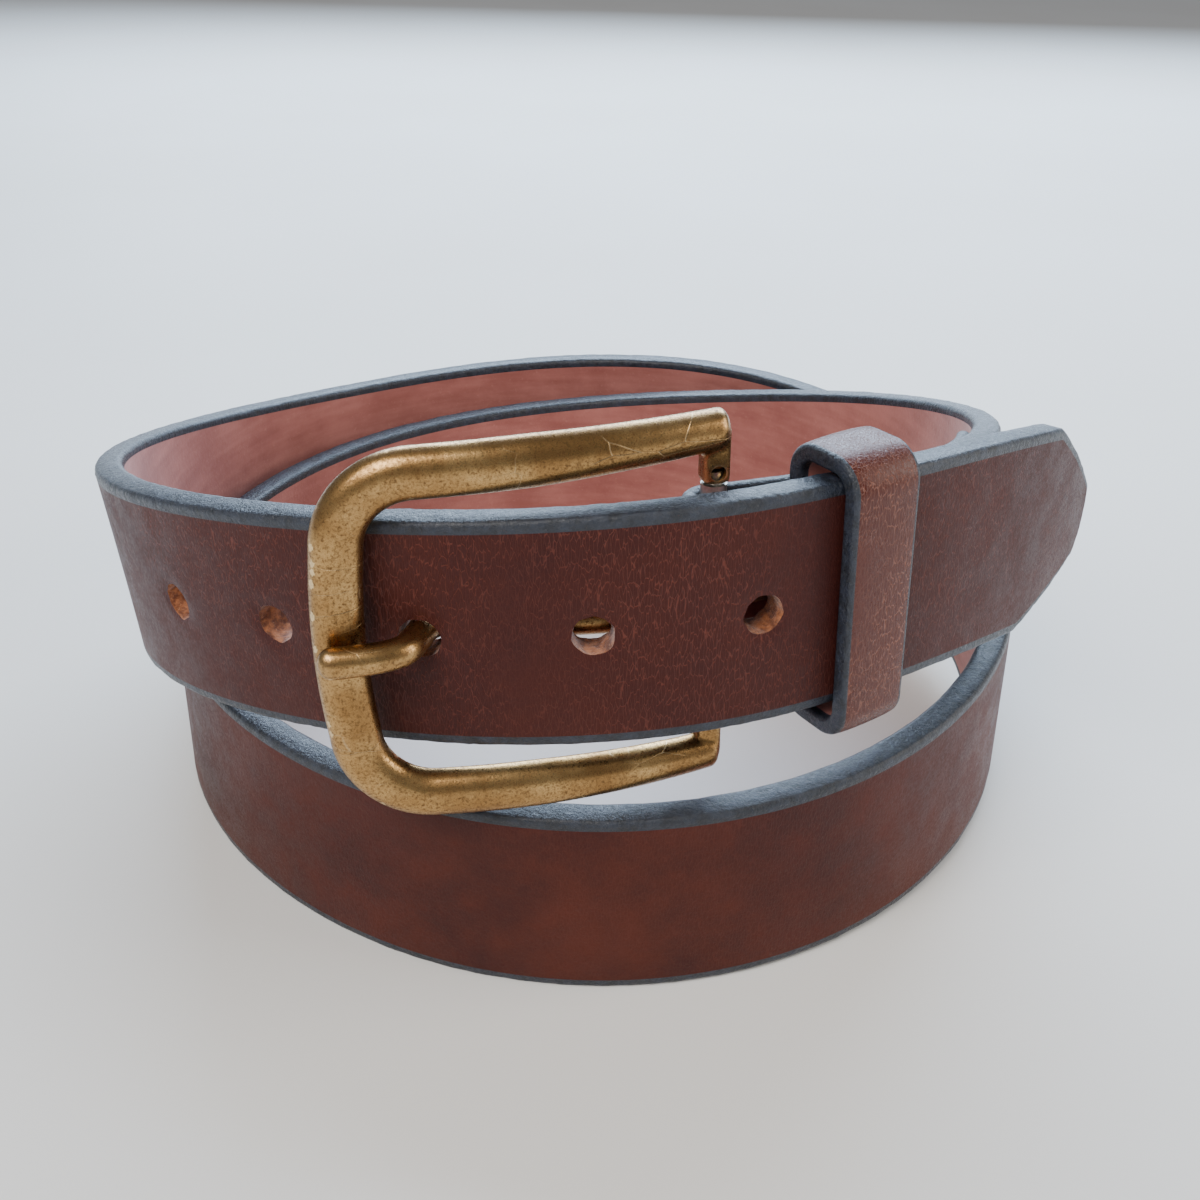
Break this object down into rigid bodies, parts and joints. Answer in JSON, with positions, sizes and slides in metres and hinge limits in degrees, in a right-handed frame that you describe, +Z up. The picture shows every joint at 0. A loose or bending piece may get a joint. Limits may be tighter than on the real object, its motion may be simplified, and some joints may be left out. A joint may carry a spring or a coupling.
{
  "type": "leather belt",
  "caption": "Thick dark brown leather belt, buckled and coiled on its edge, with an antique brass frame buckle, a single prong and a leather keeper loop.",
  "frame": {"origin": "under the middle of the coil, on the surface that the strap's lower edge rests on", "axes": "+Z up, -Y towards the side that shows the buckle, +X towards the strap's pointed end"},
  "size_m": [0.194, 0.191, 0.1016],
  "materials": {
    "strap_leather": "full-grain hide, smooth dark red-brown face with fine creases, black painted edges",
    "keeper_leather": "the same hide, burnished glossier, with light cracks in the finish",
    "antique_brass": "antique, darkened and rubbed bright on the edges",
    "steel": "dull"
  },
  "bodies": {
    "belt": {"strap": "strap_leather", "screw_post_1": "steel", "screw_1": "steel", "screw_post_2": "steel", "screw_2": "steel"},
    "buckle": {"buckle_frame": "antique_brass", "heel_bar": "steel"},
    "tongue": {"prong": "antique_brass"},
    "keeper": {"keeper_loop": "keeper_leather", "keeper_staple": "steel"}
  },
  "joints": [
    {"name": "buckle_rock", "type": "hinge", "parent": "belt", "child": "buckle", "pos_m": [0.01908, -0.07351, 0.07112], "axis": [-0.0243, 0.0611, 0.9978], "range_deg": [0, 1.5]},
    {"name": "prong_lift", "type": "hinge", "parent": "buckle", "child": "tongue", "pos_m": [0.01908, -0.07351, 0.07112], "axis": [-0.0243, 0.0611, 0.9978], "range_deg": [0, 1.5]},
    {"name": "keeper_slide", "type": "slide", "parent": "belt", "child": "keeper", "axis": [0.8449, 0.5333, -0.0418], "range_m": [0, 0.004]}
  ]
}
